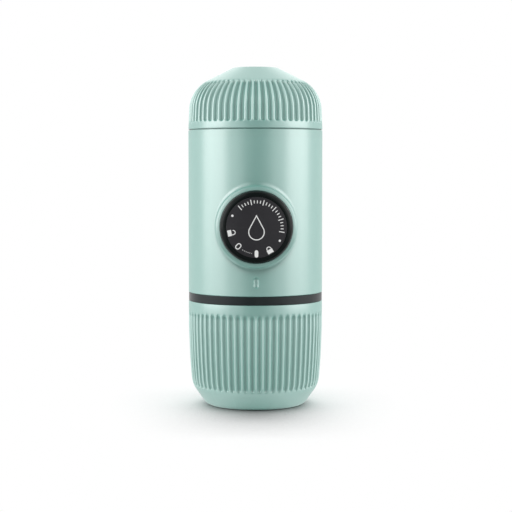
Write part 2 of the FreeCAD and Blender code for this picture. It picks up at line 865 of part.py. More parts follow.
nodes = {
    "cup": make_cup,
    "water_tank": make_water_tank,
    "seal_band": make_seal_band,
    "tank_seal": make_tank_seal,
    "tank_deck": make_tank_deck,
    "tie_screws": make_tie_screws,
    "inlet_valve": make_inlet_valve,
    "intake_filter": make_intake_filter,
    "air_vent_valve": make_air_vent_valve,
    "pump_block": make_pump_block,
    "outlet_poppet": make_outlet_poppet,
    "outlet_spring": make_outlet_spring,
    "body_shell": make_body_shell,
    "brew_chamber": make_brew_chamber,
    "shower_plate": make_shower_plate,
    "filter_basket": make_filter_basket,
    "outlet_head": make_outlet_head,
    "head_gasket": make_head_gasket,
    "head_screen": make_head_screen,
    "spout_nozzle": make_spout_nozzle,
    "crema_valve": make_crema_valve,
    "spout_cover": make_spout_cover,
    "cup_grip_ring": make_cup_grip_ring,
    "rod_bush": make_rod_bush,
    "rod_wiper": make_rod_wiper,
    "plunger_rod": make_plunger_rod,
    "plunger_seal": make_plunger_seal,
    "cap_screw": make_cap_screw,
    "piston_cap": make_piston_cap,
    "cap_disc": make_cap_disc,
    "return_spring": make_return_spring,
}

os.makedirs("parts", exist_ok=True)
for name, make in nodes.items():
    shape = make()
    shape.exportStep("parts/" + name + ".step")
    box = shape.BoundBox
    print(name, len(shape.Solids), "solids", shape.isValid(), round(shape.Volume, 1), "mm3",
          round(box.XLength, 2), round(box.YLength, 2), round(box.ZMin, 2), round(box.ZMax, 2))
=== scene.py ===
import json
import math

import bmesh
import bpy
from mathutils import Matrix, Vector


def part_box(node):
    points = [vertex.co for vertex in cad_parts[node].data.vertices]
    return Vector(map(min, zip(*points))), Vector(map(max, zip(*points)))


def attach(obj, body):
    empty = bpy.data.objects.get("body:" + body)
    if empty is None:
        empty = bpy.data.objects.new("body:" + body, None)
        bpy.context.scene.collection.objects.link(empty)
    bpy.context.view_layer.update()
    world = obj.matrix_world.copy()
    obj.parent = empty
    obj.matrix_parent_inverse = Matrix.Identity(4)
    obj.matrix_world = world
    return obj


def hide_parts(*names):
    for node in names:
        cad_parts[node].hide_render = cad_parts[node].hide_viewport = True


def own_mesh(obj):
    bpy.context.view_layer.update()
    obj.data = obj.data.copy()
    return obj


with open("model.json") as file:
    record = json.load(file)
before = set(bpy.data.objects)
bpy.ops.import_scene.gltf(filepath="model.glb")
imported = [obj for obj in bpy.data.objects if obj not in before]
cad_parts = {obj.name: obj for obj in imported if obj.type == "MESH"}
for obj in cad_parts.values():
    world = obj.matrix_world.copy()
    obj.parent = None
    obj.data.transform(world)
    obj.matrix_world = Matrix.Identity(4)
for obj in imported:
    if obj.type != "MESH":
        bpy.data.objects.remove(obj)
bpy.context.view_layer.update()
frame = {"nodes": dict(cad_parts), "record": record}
mm = 0.001
print("frame loaded:", len(frame["nodes"]), "nodes")

bodyLow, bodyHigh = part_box("body_shell")
cupLow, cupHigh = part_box("cup")
tankLow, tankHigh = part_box("water_tank")
discLow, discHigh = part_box("cap_disc")
bodyRadius = bodyHigh.x
dialHeight = (discLow.z + discHigh.z) / 2
origin = Vector((0, 0, 0))
upAxis = Vector((0, 0, 1))
frontTurn = Matrix.Rotation(math.pi / 2, 4, "X")  # turns a shape's height towards the front
mergeGap = 0.001 * mm  # points nearer than this are one


# node tree helpers

def addNode(tree, kind, inputs=None, **settings):
    node = tree.nodes.new(kind)
    for name, value in settings.items():
        setattr(node, name, value)
    for name, value in (inputs or {}).items():
        socket = node.inputs[name]
        if isinstance(value, bpy.types.NodeSocket):
            tree.links.new(value, socket)
        else:
            socket.default_value = value
    return node


def mixColours(tree, factor, first, second):
    node = addNode(tree, "ShaderNodeMix", data_type="RGBA")
    for index, value in ((0, factor), (6, first), (7, second)):
        if isinstance(value, bpy.types.NodeSocket):
            tree.links.new(value, node.inputs[index])
        else:
            node.inputs[index].default_value = value
    return node.outputs[2]


def mapValue(tree, value, low, high, fromLow=0.0, fromHigh=1.0):
    node = addNode(tree, "ShaderNodeMapRange", {"Value": value, "From Min": fromLow, "From Max": fromHigh,
                                                 "To Min": low, "To Max": high})
    return node.outputs["Result"]


# a shared effect: number sockets in, masks or heights out
def makeGroup(name, inputs, outputs):
    group = bpy.data.node_groups.new(name, "ShaderNodeTree")
    for label, value in inputs:
        socket = group.interface.new_socket(label, in_out="INPUT", socket_type="NodeSocketFloat")
        socket.default_value = value
    for label, kind in outputs:
        group.interface.new_socket(label, in_out="OUTPUT", socket_type=kind)
    return group, group.nodes.new("NodeGroupInput"), group.nodes.new("NodeGroupOutput")


# fine moulded grain: a mask that varies over the surface and a height for bump
def makeGrainGroup():
    group, given, result = makeGroup("moulded grain", [("Scale", 900.0), ("Detail", 4.0)],
                                     [("Mask", "NodeSocketFloat"), ("Height", "NodeSocketFloat")])
    place = addNode(group, "ShaderNodeTexCoord")
    noise = addNode(group, "ShaderNodeTexNoise",
                    {"Vector": place.outputs["Object"], "Scale": given.outputs["Scale"],
                     "Detail": given.outputs["Detail"], "Roughness": 0.6})
    cells = addNode(group, "ShaderNodeTexVoronoi",
                    {"Vector": place.outputs["Object"], "Scale": given.outputs["Scale"]}, feature="SMOOTH_F1")
    both = addNode(group, "ShaderNodeMath", {0: noise.outputs["Fac"], 1: cells.outputs["Distance"]},
                   operation="MULTIPLY_ADD")
    group.links.new(noise.outputs["Fac"], both.inputs[2])
    group.links.new(mapValue(group, noise.outputs["Fac"], 0.0, 1.0, fromLow=0.3, fromHigh=0.7),
                    result.inputs["Mask"])
    group.links.new(both.outputs[0], result.inputs["Height"])
    return group


# large soft haze left by hands and by wiping
def makeHazeGroup():
    group, given, result = makeGroup("wiped haze", [("Scale", 30.0)], [("Mask", "NodeSocketFloat")])
    place = addNode(group, "ShaderNodeTexCoord")
    stretched = addNode(group, "ShaderNodeMapping",
                        {"Vector": place.outputs["Object"], "Scale": (1.0, 1.0, 0.35)})
    noise = addNode(group, "ShaderNodeTexNoise",
                    {"Vector": stretched.outputs["Vector"], "Scale": given.outputs["Scale"], "Detail": 3.0,
                     "Roughness": 0.5, "Distortion": 0.8})
    group.links.new(mapValue(group, noise.outputs["Fac"], 0.0, 1.0, fromLow=0.35, fromHigh=0.65),
                    result.inputs["Mask"])
    return group


# edges catch light where handling has polished them
def makeEdgeGroup():
    group, given, result = makeGroup("rubbed edges", [("Scale", 220.0), ("Reach", 0.06)],
                                     [("Mask", "NodeSocketFloat")])
    shape = addNode(group, "ShaderNodeNewGeometry")
    place = addNode(group, "ShaderNodeTexCoord")
    noise = addNode(group, "ShaderNodeTexNoise",
                    {"Vector": place.outputs["Object"], "Scale": given.outputs["Scale"], "Detail": 5.0})
    flat = 0.5  # the pointiness of a flat face
    limit = addNode(group, "ShaderNodeMath", {0: flat, 1: given.outputs["Reach"]}, operation="ADD")
    edge = addNode(group, "ShaderNodeMapRange",
                   {"Value": shape.outputs["Pointiness"], "From Min": flat, "From Max": limit.outputs[0]})
    broken = addNode(group, "ShaderNodeMath", {0: edge.outputs["Result"], 1: noise.outputs["Fac"]},
                     operation="MULTIPLY")
    group.links.new(broken.outputs[0], result.inputs["Mask"])
    return group


# turned metal: lines round the axis, fine and broken
def makeTurningGroup():
    group, given, result = makeGroup("turning lines", [("Scale", 400.0)],
                                     [("Mask", "NodeSocketFloat"), ("Height", "NodeSocketFloat")])
    place = addNode(group, "ShaderNodeTexCoord")
    flat = addNode(group, "ShaderNodeMapping", {"Vector": place.outputs["Object"], "Scale": (0.06, 0.06, 4.0)})
    noise = addNode(group, "ShaderNodeTexNoise",
                    {"Vector": flat.outputs["Vector"], "Scale": given.outputs["Scale"], "Detail": 3.0})
    group.links.new(mapValue(group, noise.outputs["Fac"], 0.0, 1.0, fromLow=0.3, fromHigh=0.7),
                    result.inputs["Mask"])
    group.links.new(noise.outputs["Fac"], result.inputs["Height"])
    return group


grainGroup = makeGrainGroup()
hazeGroup = makeHazeGroup()
edgeGroup = makeEdgeGroup()
turningGroup = makeTurningGroup()


def useGroup(tree, group, **inputs):
    return addNode(tree, "ShaderNodeGroup", inputs, node_tree=group)


def startMaterial(name):
    material = bpy.data.materials.new(name)
    material.use_nodes = True
    tree = material.node_tree
    return material, tree, tree.nodes["Principled BSDF"]


def addBump(tree, shader, height, distance):
    bump = addNode(tree, "ShaderNodeBump", {"Height": height, "Distance": distance})
    tree.links.new(bump.outputs["Normal"], shader.inputs["Normal"])


# how open a place is, seen along a direction
def addOpenness(tree, reach, direction):
    node = addNode(tree, "ShaderNodeAmbientOcclusion", {"Distance": reach, "Normal": direction}, samples=8)
    return node.outputs["AO"]


# painted shade: places closed in from above get a darker colour, as if light from above were blocked there, but
# not the mark below the collar
def paintShadeFromAbove(tree, colour, look):
    facing = addNode(tree, "ShaderNodeNewGeometry").outputs["Normal"]
    upward = addNode(tree, "ShaderNodeVectorMath", {0: facing, 1: (0, 0, look["cavityLean"])}, operation="ADD")
    openness = addOpenness(tree, look["cavityReach"] * mm, upward.outputs[0])
    share = mapValue(tree, openness, 0.0, 1.0, *look["cavityRange"])
    place = addNode(tree, "ShaderNodeTexCoord").outputs["Object"]
    away = addNode(tree, "ShaderNodeVectorMath", {0: place, 1: look["unshadedSpot"]}, operation="DISTANCE")
    unshaded = mapValue(tree, away.outputs["Value"], 1.0, 0.0, *look["unshadedReach"])
    either = addNode(tree, "ShaderNodeMath", {0: share, 1: unshaded}, operation="MAXIMUM")
    return mixColours(tree, either.outputs[0], (*look["cavity"], 1), colour)


# painted highlight and painted shade on the flutes: ridges painted lighter, hollows painted darker and made
# rougher
def paintFluteLightAndShade(tree, colour, roughness, look):
    tone = addNode(tree, "ShaderNodeAttribute", attribute_name="fluteTone").outputs["Fac"]
    hollows = mapValue(tree, tone, 0.0, 1.0)
    ridges = mapValue(tree, tone, 1.0, 0.0, fromLow=-1.0, fromHigh=-0.2)
    darker = mixColours(tree, hollows, colour, (*look["hollow"], 1))
    lightened = mixColours(tree, ridges, darker, (*look["ridge"], 1))
    rougher = addNode(tree, "ShaderNodeMath", {0: hollows, 1: look["hollowRough"], 2: roughness},
                      operation="MULTIPLY_ADD")
    return lightened, rougher.outputs[0]


# every painted, moulded or printed finish: two close colours mixed by grain, haze in colour and roughness, edges
# lightened by wear, fine bump; where the look asks, painted shade from above and painted highlight and shade on
# the flutes
def makeFinish(name, look):
    material, tree, shader = startMaterial(name)
    grain = useGroup(tree, grainGroup, Scale=look["grainScale"])
    haze = useGroup(tree, hazeGroup)
    edges = useGroup(tree, edgeGroup)
    tone = mixColours(tree, grain.outputs["Mask"], (*look["dark"], 1), (*look["light"], 1))
    soft = mixColours(tree, haze.outputs["Mask"], tone, (*look["hazed"], 1))
    wearAndPaintedLight = mixColours(tree, edges.outputs["Mask"], soft, (*look["edge"], 1))
    # painted shade where a place is closed in from above; the colour so far also holds grain, haze and edge wear
    if "cavity" in look:
        wearAndPaintedLight = paintShadeFromAbove(tree, wearAndPaintedLight, look)
    roughness = mapValue(tree, haze.outputs["Mask"], *look["roughness"])
    # painted highlight on the flute ridges and painted shade in their hollows
    if "hollow" in look:
        wearAndPaintedLight, roughness = paintFluteLightAndShade(tree, wearAndPaintedLight, roughness, look)
    tree.links.new(wearAndPaintedLight, shader.inputs["Base Color"])
    tree.links.new(roughness, shader.inputs["Roughness"])
    shader.inputs["IOR"].default_value = look.get("ior", 1.5)
    addBump(tree, shader, grain.outputs["Height"], look["bump"] * mm)
    return material


# colours are linear, bump heights and the reach of the painted shade are in millimetres

# in the mint look, hollow is the painted shade colour of the flute hollows and ridge the painted highlight colour
# of their ridges
mintLook = {"dark": (0.172, 0.415, 0.360), "light": (0.190, 0.443, 0.385), "hazed": (0.182, 0.430, 0.374),
            "edge": (0.22, 0.47, 0.41), "grainScale": 2600.0, "roughness": (0.31, 0.35), "ior": 2.95,
            "bump": 0.008, "hollow": (0.085, 0.305, 0.255), "ridge": (0.42, 0.68, 0.62), "hollowRough": 0.25}
# the shell's look adds painted shade under the collar and wherever the shell is closed in from above
shellLook = {**mintLook, "cavity": (0.02, 0.09, 0.075), "cavityReach": 4.0, "cavityRange": (0.38, 0.95),
             "cavityLean": 0.5, "unshadedSpot": (0, -bodyRadius, 58.4 * mm), "unshadedReach": (3.0 * mm, 4.0 * mm)}
bandLook = {"dark": (0.008, 0.014, 0.015), "light": (0.012, 0.019, 0.020), "hazed": (0.012, 0.019, 0.020),
            "edge": (0.022, 0.028, 0.028), "grainScale": 2200.0, "roughness": (0.30, 0.36), "ior": 1.36,
            "bump": 0.02}
rubberLook = {"dark": (0.012, 0.012, 0.013), "light": (0.022, 0.022, 0.023), "hazed": (0.030, 0.030, 0.031),
              "edge": (0.05, 0.05, 0.05), "grainScale": 2200.0, "roughness": (0.48, 0.62), "bump": 0.02}
blackLook = {"dark": (0.013, 0.013, 0.014), "light": (0.022, 0.022, 0.023), "hazed": (0.026, 0.026, 0.027),
             "edge": (0.06, 0.06, 0.06), "grainScale": 1600.0, "roughness": (0.34, 0.46), "bump": 0.02}
capLook = {"dark": (0.003, 0.005, 0.005), "light": (0.004, 0.007, 0.0065), "hazed": (0.004, 0.007, 0.0065),
           "edge": (0.010, 0.014, 0.013), "grainScale": 2400.0, "roughness": (0.20, 0.26), "ior": 1.27,
           "bump": 0.004}
faceLook = {"dark": (0.014, 0.013, 0.017), "light": (0.020, 0.019, 0.023), "hazed": (0.020, 0.019, 0.023),
            "edge": (0.03, 0.03, 0.033), "grainScale": 2600.0, "roughness": (0.36, 0.44), "bump": 0.010}
inkLook = {"dark": (0.72, 0.73, 0.72), "light": (0.80, 0.81, 0.80), "hazed": (0.76, 0.77, 0.76),
           "edge": (0.82, 0.83, 0.82), "grainScale": 3000.0, "roughness": (0.45, 0.55), "bump": 0.006}
whiteLook = {"dark": (0.66, 0.66, 0.63), "light": (0.74, 0.74, 0.71), "hazed": (0.70, 0.70, 0.67),
             "edge": (0.78, 0.78, 0.75), "grainScale": 1600.0, "roughness": (0.32, 0.42), "bump": 0.015}
siliconeLook = {"dark": (0.55, 0.56, 0.55), "light": (0.66, 0.67, 0.66), "hazed": (0.62, 0.63, 0.62),
                "edge": (0.74, 0.75, 0.74), "grainScale": 1800.0, "roughness": (0.40, 0.50), "bump": 0.015,
                "softWeight": 0.3, "softDepth": 1.0}
steelLook = {"dark": (0.50, 0.50, 0.49), "light": (0.62, 0.62, 0.60), "hazed": (0.56, 0.55, 0.53),
             "lineScale": 500.0, "hazeScale": 45.0, "roughness": (0.22, 0.36), "bump": 0.01}


# soft valve rubber that light enters a little
def makeSilicone(name, look):
    material = makeFinish(name, look)
    shader = material.node_tree.nodes["Principled BSDF"]
    shader.inputs["Subsurface Weight"].default_value = look["softWeight"]
    shader.inputs["Subsurface Scale"].default_value = look["softDepth"] * mm
    return material


# stainless steel, turned and lightly brushed
def makeSteel(name, look):
    material, tree, shader = startMaterial(name)
    lines = useGroup(tree, turningGroup, Scale=look["lineScale"])
    haze = useGroup(tree, hazeGroup, Scale=look["hazeScale"])
    tone = mixColours(tree, lines.outputs["Mask"], (*look["dark"], 1), (*look["light"], 1))
    soft = mixColours(tree, haze.outputs["Mask"], tone, (*look["hazed"], 1))
    tree.links.new(soft, shader.inputs["Base Color"])
    shader.inputs["Metallic"].default_value = 1.0
    tree.links.new(mapValue(tree, lines.outputs["Mask"], *look["roughness"]), shader.inputs["Roughness"])
    addBump(tree, shader, lines.outputs["Height"], look["bump"] * mm)
    return material


finishes = {
    "mint_paint": makeFinish("mintPaint", mintLook),
    "grey_rubber": makeFinish("bandRubber", bandLook),
    "black_rubber": makeFinish("blackRubber", rubberLook),
    "black_plastic": makeFinish("blackPlastic", blackLook),
    "black_gloss": makeFinish("capBlack", capLook),
    "white_plastic": makeFinish("whitePlastic", whiteLook),
    "silicone": makeSilicone("clearSilicone", siliconeLook),
    "steel": makeSteel("turnedSteel", steelLook),
}
# the shell's paint, with painted shade from above
shellPaint = makeFinish("shellPaint", shellLook)
dialFace = makeFinish("dialFace", faceLook)
dialInk = makeFinish("dialInk", inkLook)
print("finishes made:", *finishes, "and the shell's, the dial's and the ink's own")

for part in frame["record"]["subparts"]:
    node = frame["nodes"][part["node"]]
    node.data.materials.clear()
    paint = shellPaint if part["node"] == "body_shell" else finishes[part["material_slot"]]
    node.data.materials.append(paint)
print("nodes dressed")


# mesh helpers

arcLimits = {"fewest": 3, "shortest": 0.1 * mm}


# steps in a rounded corner: fine enough in degrees, but none shorter than the shortest
def arcSteps(turn, rounding, arcStep):
    byAngle = math.ceil(math.degrees(turn) / arcStep)
    byLength = math.ceil(turn * rounding / arcLimits["shortest"])
    return max(arcLimits["fewest"], min(byAngle, byLength))


# where a spun point has arrived
def lastVert(made):
    return [v for v in made["geom_last"] if isinstance(v, bmesh.types.BMVert)][0]


# a wire in the XZ plane through (radius, height) or (radius, height, rounding) corners
def drawProfile(bm, corners, closed=False, arcStep=6.0):
    points = [Vector((corner[0], 0, corner[1])) for corner in corners]
    first = last = None
    for index, point in enumerate(points):
        rounding = corners[index][2] if len(corners[index]) > 2 else 0
        if not rounding:
            end = start = bm.verts.new(point)
        else:
            before = (points[index - 1] - point).normalized()
            after = (points[(index + 1) % len(points)] - point).normalized()
            half = before.angle(after) / 2
            turn = math.pi - 2 * half
            centre = point + (before + after).normalized() * rounding / math.sin(half)
            start = bm.verts.new(point + before * rounding / math.tan(half))
            made = bmesh.ops.spin(bm, geom=[start], cent=centre, axis=after.cross(before), dvec=origin,
                                  angle=turn, steps=arcSteps(turn, rounding, arcStep),
                                  use_merge=False, use_duplicate=False)
            end = lastVert(made)
        if last:
            bm.edges.new((last, start))
        first = first or start
        last = end
    if closed:
        bm.edges.new((last, first))


# more points in a wire, where level planes cross it; none is added next to one that is there
def addRows(bm, low, high, step):
    count = max(1, round((high - low) / step))
    for index in range(count + 1):
        height = low + (high - low) * index / count
        bmesh.ops.bisect_plane(bm, geom=bm.verts[:] + bm.edges[:], dist=0.02 * mm, plane_co=(0, 0, height),
                               plane_no=upAxis)


# a wire turned all the way round
def turnProfile(bm, steps):
    bmesh.ops.spin(bm, geom=bm.verts[:] + bm.edges[:], cent=origin, axis=upAxis, dvec=origin,
                   angle=2 * math.pi, steps=steps, use_merge=True, use_duplicate=False)


# one slice of a turned shape, from half a slice before the X axis to half a slice after it
def turnSlice(bm, slices, steps):
    angle = 2 * math.pi / slices
    bmesh.ops.rotate(bm, cent=origin, matrix=Matrix.Rotation(-angle / 2, 3, "Z"), verts=bm.verts[:])
    bmesh.ops.spin(bm, geom=bm.verts[:] + bm.edges[:], cent=origin, axis=upAxis, dvec=origin,
                   angle=angle, steps=steps, use_merge=False, use_duplicate=False)


# repeat the slice all the way round, with the first slice's middle turned from the front
def repeatSlice(bm, slices, turned):
    start = Matrix.Rotation(math.radians(turned) - math.pi / 2, 3, "Z")
    bmesh.ops.rotate(bm, cent=origin, matrix=start, verts=bm.verts[:])
    bmesh.ops.spin(bm, geom=bm.verts[:] + bm.edges[:] + bm.faces[:], cent=origin, axis=upAxis, dvec=origin,
                   angle=2 * math.pi * (slices - 1) / slices, steps=slices - 1, use_merge=False,
                   use_duplicate=True)
    tidyMesh(bm)


def tidyMesh(bm):
    bmesh.ops.remove_doubles(bm, verts=bm.verts[:], dist=mergeGap)
    bmesh.ops.recalc_face_normals(bm, faces=bm.faces[:])


# add another bmesh's mesh to a bmesh
def joinMesh(bm, other):
    joined = bpy.data.meshes.new("joined")
    other.to_mesh(joined)
    bm.from_mesh(joined)
    bpy.data.meshes.remove(joined)
    other.free()


# a shape drawn level stands upright, facing the front, on the piston's axis
def towardsFront(bm, front):
    bmesh.ops.transform(bm, matrix=Matrix.Translation((0, front, dialHeight)) @ frontTurn, verts=bm.verts[:])


# a bmesh becomes a named piece on its CAD body
def addPiece(name, bm, body, slotName, replaced=(), material=None, sharp=35.0):
    mesh = bpy.data.meshes.new(name)
    bm.to_mesh(mesh)
    bm.free()
    mesh.polygons.foreach_set("use_smooth", [True] * len(mesh.polygons))
    mesh.set_sharp_from_angle(angle=math.radians(sharp))
    mesh.materials.append(material or finishes[slotName])
    piece = bpy.data.objects.new(name, mesh)
    bpy.context.scene.collection.objects.link(piece)
    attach(piece, body)
    if replaced:
        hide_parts(*replaced)
    print(name, len(mesh.polygons), "faces")
    return piece


# grip flutes: hollow grooves with round ridges between them, one curve flowing into the other

fluteCut = {"count": 60, "depth": 1.2 * mm, "ridge": 0.62 * mm, "hollowColumns": 5, "ridgeColumns": 3}
fluteHalf = math.pi * bodyRadius / fluteCut["count"]
fluteColumns = 2 * (fluteCut["hollowColumns"] + fluteCut["ridgeColumns"])
wallTurn = 2 * math.atan(fluteCut["depth"] / fluteHalf)
hollowRadius = fluteHalf / math.sin(wallTurn) - fluteCut["ridge"]
ridgeHalf = fluteCut["ridge"] * math.sin(wallTurn)


# distance across the groove of a column of the mesh, counted from the middle
def columnPlace(column):
    if column <= fluteCut["hollowColumns"]:
        return hollowRadius * math.sin(wallTurn * column / fluteCut["hollowColumns"])
    fromCrest = wallTurn * (fluteColumns / 2 - column) / fluteCut["ridgeColumns"]
    return fluteHalf - fluteCut["ridge"] * math.sin(fromCrest)


# depth of the groove at a distance across from its middle
def grooveDepth(across):
    fromCrest = fluteHalf - across
    if fromCrest <= 0:
        return 0
    if fromCrest < ridgeHalf:
        return fluteCut["ridge"] - math.sqrt(fluteCut["ridge"] ** 2 - fromCrest ** 2)
    return fluteCut["depth"] - hollowRadius + math.sqrt(hollowRadius ** 2 - across ** 2)


# press one groove into a slice of outer wall; grooveAt says how far a point is past the groove's full
# part, as a share of its end's length, and the way in; fluteTone is -1 on a ridge, 0 on plain wall and 1
# in a hollow
def pressFlute(bm, grooveAt, deep=1.0):
    # fluteTone places the painted highlight on ridges and the painted shade in hollows
    tone = bm.verts.layers.float.new("fluteTone")
    step = 2 * math.pi / fluteCut["count"] / fluteColumns
    for vert in bm.verts:
        radius = math.hypot(vert.co.x, vert.co.y)
        past, inwards, downwards = grooveAt(radius, vert.co.z)
        if past >= 1:
            continue
        angle = math.atan2(vert.co.y, vert.co.x)
        across = columnPlace(abs(round(angle / step)))
        past = max(past, 0)
        depth = grooveDepth(math.hypot(across, past * fluteHalf))
        share = deep * depth / fluteCut["depth"]
        vert[tone] = share - (1 - share) * (1 - past)
        angle = math.copysign(across / bodyRadius, angle)
        depth *= deep
        pressed = radius - depth * inwards
        height = vert.co.z - depth * downwards
        vert.co = Vector((pressed * math.cos(angle), pressed * math.sin(angle), height))


# cup

cupForm = {"flatRadius": 10.3 * mm, "slope": 26.6, "shoulder": 15.4 * mm, "draft": 0.8 * mm, "wall": 2.1 * mm,
           "rim": 2.0 * mm, "topEdge": 1.2 * mm, "seamGap": 0.28 * mm, "seamDepth": 0.9 * mm,
           "seamEdge": 0.2 * mm, "lipEdge": 0.15 * mm, "rimEdge": 0.4 * mm,
           "fluteLow": 4.6 * mm, "lowEnd": 1.7 * mm, "fluteClimb": 50.0, "highEnd": 2.2 * mm, "fluteTurn": -0.17,
           "arcStep": 1.8, "endRows": 0.17 * mm, "wallRows": 2.0 * mm}
almostAll = 0.999  # a rounding this share of its corner leaves a short flat at each end


def makeCup():
    form = cupForm
    top = cupHigh.z
    low = cupLow.z
    slope = math.radians(form["slope"])
    sideRadius = bodyRadius - form["draft"]
    arcRadius = sideRadius - form["shoulder"]
    drop = (form["shoulder"] + (arcRadius - form["flatRadius"]) * math.sin(slope)) / math.cos(slope)
    arcHeight = top - drop
    tangent = math.tan((math.pi / 2 - slope) / 2)
    fluteLow = low + form["fluteLow"]
    rimLow = low + form["seamGap"]

    def grooveAt(radius, height):
        if height < arcHeight:
            return (fluteLow - height) / form["lowEnd"], 1, 0
        climb = math.atan2(height - arcHeight, radius - arcRadius)
        past = (climb - math.radians(form["fluteClimb"])) * form["shoulder"]
        return past / form["highEnd"], math.cos(climb), math.sin(climb)

    outer = bmesh.new()
    drawProfile(outer, [(0, top), (form["flatRadius"], top, form["topEdge"]),
                        (sideRadius, arcHeight + form["shoulder"] * tangent, form["shoulder"] * almostAll),
                        (bodyRadius, rimLow, form["seamEdge"]), (bodyRadius - form["seamDepth"], rimLow)],
                arcStep=form["arcStep"])
    addRows(outer, fluteLow - form["lowEnd"], fluteLow, form["endRows"])
    addRows(outer, fluteLow, arcHeight, form["wallRows"])
    turnSlice(outer, fluteCut["count"], fluteColumns)
    pressFlute(outer, grooveAt)

    inset = form["wall"]
    innerFlat = form["flatRadius"] - inset * (1 - math.cos(slope)) / math.sin(slope)
    innerShoulder = form["shoulder"] - inset
    inner = bmesh.new()
    drawProfile(inner, [(bodyRadius - form["seamDepth"], rimLow),
                        (bodyRadius - form["seamDepth"], low, form["lipEdge"]),
                        (bodyRadius - form["rim"], low, form["rimEdge"]), (sideRadius - inset, arcHeight),
                        (sideRadius - inset, arcHeight + innerShoulder * tangent, innerShoulder * almostAll),
                        (innerFlat, top - inset, form["topEdge"]), (0, top - inset)])
    turnSlice(inner, fluteCut["count"], fluteColumns)
    joinMesh(outer, inner)
    repeatSlice(outer, fluteCut["count"], form["fluteTurn"])
    return addPiece("fluted_cup", outer, "cup", "mint_paint", ["cup"])


makeCup()


# lip round the mouth of the collar: a sloped face with a rounded outer edge

lipForm = {"inner": 16.14 * mm, "outer": 17.88 * mm, "rise": 0.72 * mm, "slope": 28.0, "edge": 0.5 * mm,
           "innerEdge": 0.1 * mm, "depth": 1.0 * mm, "steps": 160}


def makeCollarLip():
    form = lipForm
    fall = (form["outer"] - form["inner"]) * math.tan(math.radians(form["slope"]))
    bm = bmesh.new()
    drawProfile(bm, [(form["inner"], -form["depth"]), (form["inner"], form["rise"], form["innerEdge"]),
                     (form["outer"], form["rise"] - fall, form["edge"]), (form["outer"], -form["depth"])],
                closed=True)
    turnProfile(bm, form["steps"])
    tidyMesh(bm)
    towardsFront(bm, bodyLow.y)
    return addPiece("collar_lip", bm, "main_body", "mint_paint")


makeCollarLip()


# water tank

tankForm = {"footInset": 8.3 * mm, "footEdge": 3.5 * mm, "slopeInset": 1.45 * mm, "slopeHeight": 9.45 * mm,
            "slopeEdge": 14.0 * mm, "taperInset": 0.55 * mm, "taperHeight": 22.0 * mm, "taperBlend": 30.0 * mm,
            "sideHeight": 36.0 * mm, "sideBlend": 60.0 * mm, "rimEdge": 0.3 * mm, "floor": 2.2 * mm,
            "wall": 2.2 * mm, "roomRadius": 28.5 * mm, "roomEdge": 0.6 * mm, "mouthRadius": 26.6 * mm,
            "mouthLow": 38.2 * mm, "fluteHigh": 7.0 * mm, "highEnd": 3.2 * mm, "fluteLow": 11.0 * mm,
            "lowEnd": 3.2 * mm, "fluteTurn": 2.73, "fluteDeep": 0.82, "arcStep": 3.0, "innerArcStep": 9.0,
            "lowRows": 0.32 * mm, "wallRows": 3.0 * mm, "highRows": 0.25 * mm}
mouthThread = {"lead": 6.0 * mm, "height": 1.1 * mm, "foot": 1.6 * mm, "tip": 0.8 * mm, "low": 41.6 * mm,
               "run": 3.5 * mm, "starts": 2, "buried": 0.3 * mm, "stepsPerTurn": 90}


# helical ridges inside the tank's mouth
def addMouthThread(bm):
    form = mouthThread
    outside = tankForm["mouthRadius"] + form["buried"]
    inside = tankForm["mouthRadius"] - form["height"]
    turns = form["run"] / form["lead"]
    steps = round(form["stepsPerTurn"] * turns)
    for start in range(form["starts"]):
        ridge = bmesh.new()
        points = [(outside, -form["foot"] / 2), (inside, -form["tip"] / 2),
                  (inside, form["tip"] / 2), (outside, form["foot"] / 2)]
        face = ridge.faces.new([ridge.verts.new((r, 0, z)) for r, z in points])
        bmesh.ops.spin(ridge, geom=[face] + face.edges[:] + face.verts[:], cent=origin, axis=upAxis,
                       dvec=(0, 0, form["run"] / steps), angle=2 * math.pi * turns, steps=steps,
                       use_merge=False, use_duplicate=False)
        bmesh.ops.recalc_face_normals(ridge, faces=ridge.faces[:])
        turned = Matrix.Rotation(2 * math.pi * start / form["starts"], 4, "Z")
        raised = Matrix.Translation((0, 0, form["low"]))
        bmesh.ops.transform(ridge, matrix=raised @ turned, verts=ridge.verts[:])
        joinMesh(bm, ridge)


